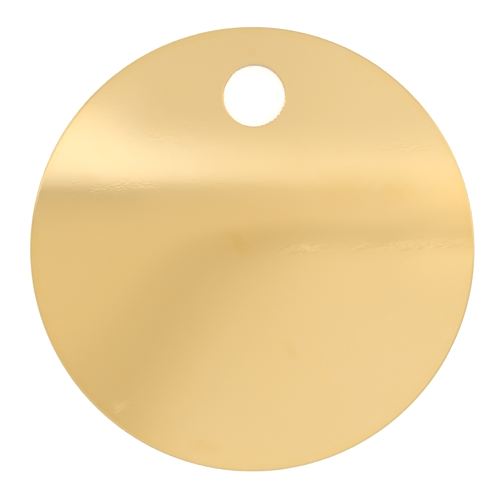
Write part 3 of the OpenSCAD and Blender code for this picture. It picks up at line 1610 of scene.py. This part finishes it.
    def steps(self, bench: NodeBench) -> tuple[object, object, object]:
        """Finds where a ray of light comes from.

        Args:
            bench: The world's bench.

        Returns:
            Its steps across and up the photograph, and its height as a sine.
        """
        ray = bench.scaled(bench.node("TexCoord").outputs["Generated"], (1.0, 1.0, 1.0), -PHOTO_TURN)
        parts = bench.parts(ray)
        steep = bench.product(bench.maths("MAXIMUM", parts["Z"], self.low_ray), self.step)
        cos, sin = math.cos(PHOTO_TURN), math.sin(PHOTO_TURN)
        lean_across = self.lean[0] * cos + self.lean[1] * sin
        lean_up = self.lean[1] * cos - self.lean[0] * sin
        across = bench.total(bench.maths("DIVIDE", parts["X"], steep), -2.0 * lean_across / self.step)
        up = bench.total(bench.maths("DIVIDE", parts["Y"], steep), -2.0 * lean_up / self.step)
        return across, up, parts["Z"]

    def overhead(self, bench: NodeBench, across: object, up: object) -> bpy.types.NodeSocket:
        """Builds the panels overhead.

        Args:
            bench: The world's bench.
            across: Steps across the photograph.
            up: Steps up it.

        Returns:
            Their brightness.
        """
        even = self.evening.along(bench, across)
        below = bench.maths("MAXIMUM", bench.maths("SUBTRACT", self.shade_line, up), 0.0)
        drawn_in = bench.product(below, even, -self.squeeze)
        shaded = bench.profile(bench.total(up, drawn_in), self.panel)
        lift = bench.product(bench.maths("SUBTRACT", self.even_level, shaded), even, self.even_share)
        gap = bench.product(bench.profile(up, self.gap), gathered(bench, across, self.gap_spreads))
        raised = bench.total(up, self.late.along(bench, across))
        core = bench.product(bench.profile(raised, self.core),
                             gathered(bench, across, self.core_spreads))
        foot = bench.product(bench.profile(raised, self.foot), self.foot_level)
        ending = bench.total(up, *(spread.along(bench, across) for spread in self.end_spreads))
        kept = bench.remainder(bench.product(even, self.strip_fade))
        strips = bench.product(bench.total(core, foot), bench.profile(ending, self.strip_end), kept)
        glows = (glow.light(bench, across, up) for glow in self.glows)
        return bench.total(shaded, lift, gap, strips, *glows)

    def tint(self, bench: NodeBench, across: object, up: object) -> bpy.types.NodeSocket:
        """Builds the tint of the light overhead.

        Args:
            bench: The world's bench.
            across: Steps across the photograph.
            up: Steps up it.

        Returns:
            The tint.
        """
        left = bench.profile(up, self.coolness)
        change = bench.maths("SUBTRACT", bench.profile(up, self.right_coolness), left)
        far = bench.product(bench.profile(up, self.far_coolness), self.far_spread.along(bench, across))
        share = bench.total(left, bench.product(change, self.evening.along(bench, across)), far)
        return bench.blend(share, self.warm, self.cool, held=False)

    def dome(self, bench: NodeBench, height: object) -> bpy.types.NodeSocket:
        """Builds the rest of the studio: walls that fade to the table, and the screens.

        Args:
            bench: The world's bench.
            height: The ray's height as a sine.

        Returns:
            Its brightness.
        """
        level = bench.scaled(bench.node("TexCoord").outputs["Generated"], (1.0, 1.0, 0.0))
        bearing = bench.vector("NORMALIZE", level)
        screens = (screen.light(bench, bearing, height) for screen in self.screens)
        return bench.total(bench.profile(height, self.walls), *screens)

    def build(self) -> None:
        """Builds the world, in which the camera itself sees plain white past the table's end."""
        world = bpy.data.worlds.new("soft_studio")
        bpy.context.scene.world = world
        world.use_nodes = True
        bench = NodeBench(world.node_tree)
        across, up, height = self.steps(bench)
        reach = bench.maths("SQRT", bench.total(bench.product(across, across), bench.product(up, up)))
        near = bench.span(reach, self.far_steps, self.near_steps)
        overhead = bench.product(self.overhead(bench, across, up), near)
        around = bench.product(self.dome(bench, height), bench.remainder(near))
        light = bench.node("Background")
        tint = bench.blend(near, (1.0, 1.0, 1.0), self.tint(bench, across, up))
        bench.feed(light.inputs["Color"], tint)
        bench.feed(light.inputs["Strength"], bench.total(overhead, around))
        white = bench.node("Background")
        white.inputs["Color"].default_value = (1.0, 1.0, 1.0, 1.0)
        white.inputs["Strength"].default_value = self.white
        choice = bench.node("MixShader")
        bench.feed(choice.inputs[0], bench.node("LightPath").outputs["Is Camera Ray"])
        bench.feed(choice.inputs[1], light.outputs[0])
        bench.feed(choice.inputs[2], white.outputs[0])
        output = bench.node("OutputWorld")
        bench.feed(output.inputs["Surface"], choice.outputs[0])


@dataclass(frozen=True)
class Studio:
    """The white table, the lamp over it, the sky and the camera.

    Attributes:
        table_size: Length of the table's side.
        lamp_power: Strength of the lamp that whitens the table.
        lamp_spread: Angle that the lamp fills, in degrees.
        picture_width: Width of the photograph on the disc's front face.
        camera_distance: Distance from the camera to the front face.
        look_at: Point of the front face in the middle of the photograph.
        sensor: Width of the camera's sensor in millimetres.
        clip: Nearest and farthest distance that the camera sees.
    """

    table_size: float = 3.0
    lamp_power: float = 2.0
    lamp_spread: float = 6.0
    picture_width: float = 14.60 * MM
    camera_distance: float = 200.0 * MM
    look_at: tuple[float, float] = (-0.068 * MM, -0.026 * MM)
    sensor: float = 36.0
    clip: tuple[float, float] = (0.01, 10.0)

    def table(self) -> bpy.types.Object:
        """Builds the table's top.

        Returns:
            The table.
        """
        half = self.table_size / 2.0
        mesh = bpy.data.meshes.new("white_table")
        corners = [(-half, -half, 0.0), (half, -half, 0.0), (half, half, 0.0), (-half, half, 0.0)]
        mesh.from_pydata(corners, [], [(0, 1, 2, 3)])
        mesh.materials.append(TablePaper().material())
        table = bpy.data.objects.new("white_table", mesh)
        bpy.context.scene.collection.objects.link(table)
        table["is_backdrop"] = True
        return table

    def lamp(self) -> bpy.types.Object:
        """Hangs the wide lamp that lights the table and leaves no mark on the gold.

        Returns:
            The lamp.
        """
        data = bpy.data.lights.new("table_lamp", "SUN")
        data.energy = self.lamp_power
        data.angle = math.radians(self.lamp_spread)
        lamp = bpy.data.objects.new("table_lamp", data)
        lamp.visible_glossy = False
        bpy.context.scene.collection.objects.link(lamp)
        return lamp

    def camera(self, face_height: float) -> bpy.types.Object:
        """Hangs the camera straight over the disc.

        Args:
            face_height: Height of the disc's front face over the table.

        Returns:
            The camera.
        """
        data = bpy.data.cameras.new("overhead_camera")
        data.sensor_width = self.sensor
        data.lens = self.sensor * self.camera_distance / self.picture_width
        data.clip_start, data.clip_end = self.clip
        camera = bpy.data.objects.new("overhead_camera", data)
        place = Vector((*self.look_at, face_height + self.camera_distance))
        camera.matrix_world = Matrix.Translation(place) @ Matrix.Rotation(PHOTO_TURN, 4, "Z")
        bpy.context.scene.collection.objects.link(camera)
        bpy.context.scene.camera = camera
        return camera


def main() -> None:
    """Builds the disc, then the studio round it, and reports each piece."""
    logging.basicConfig(level=logging.INFO, format="%(name)s: %(message)s")
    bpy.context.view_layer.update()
    disc = GoldDisc()
    piece, lean = disc.build()
    disc.dress(piece)
    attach(piece, "root")
    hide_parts("disc")
    LOG.info("gold_disc: %d faces, table slopes %.5f and %.5f", len(piece.data.polygons), *lean)
    studio = Studio()
    studio.table()
    LOG.info("white_table: laid under the disc")
    studio.lamp()
    Sky(lean=lean).build()
    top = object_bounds()[1].z
    studio.camera(top)
    LOG.info("camera: over a face %.4f mm above the table", top / MM)
    scene = bpy.context.scene
    scene.view_settings.view_transform = "Standard"


if __name__ == "__main__":
    main()
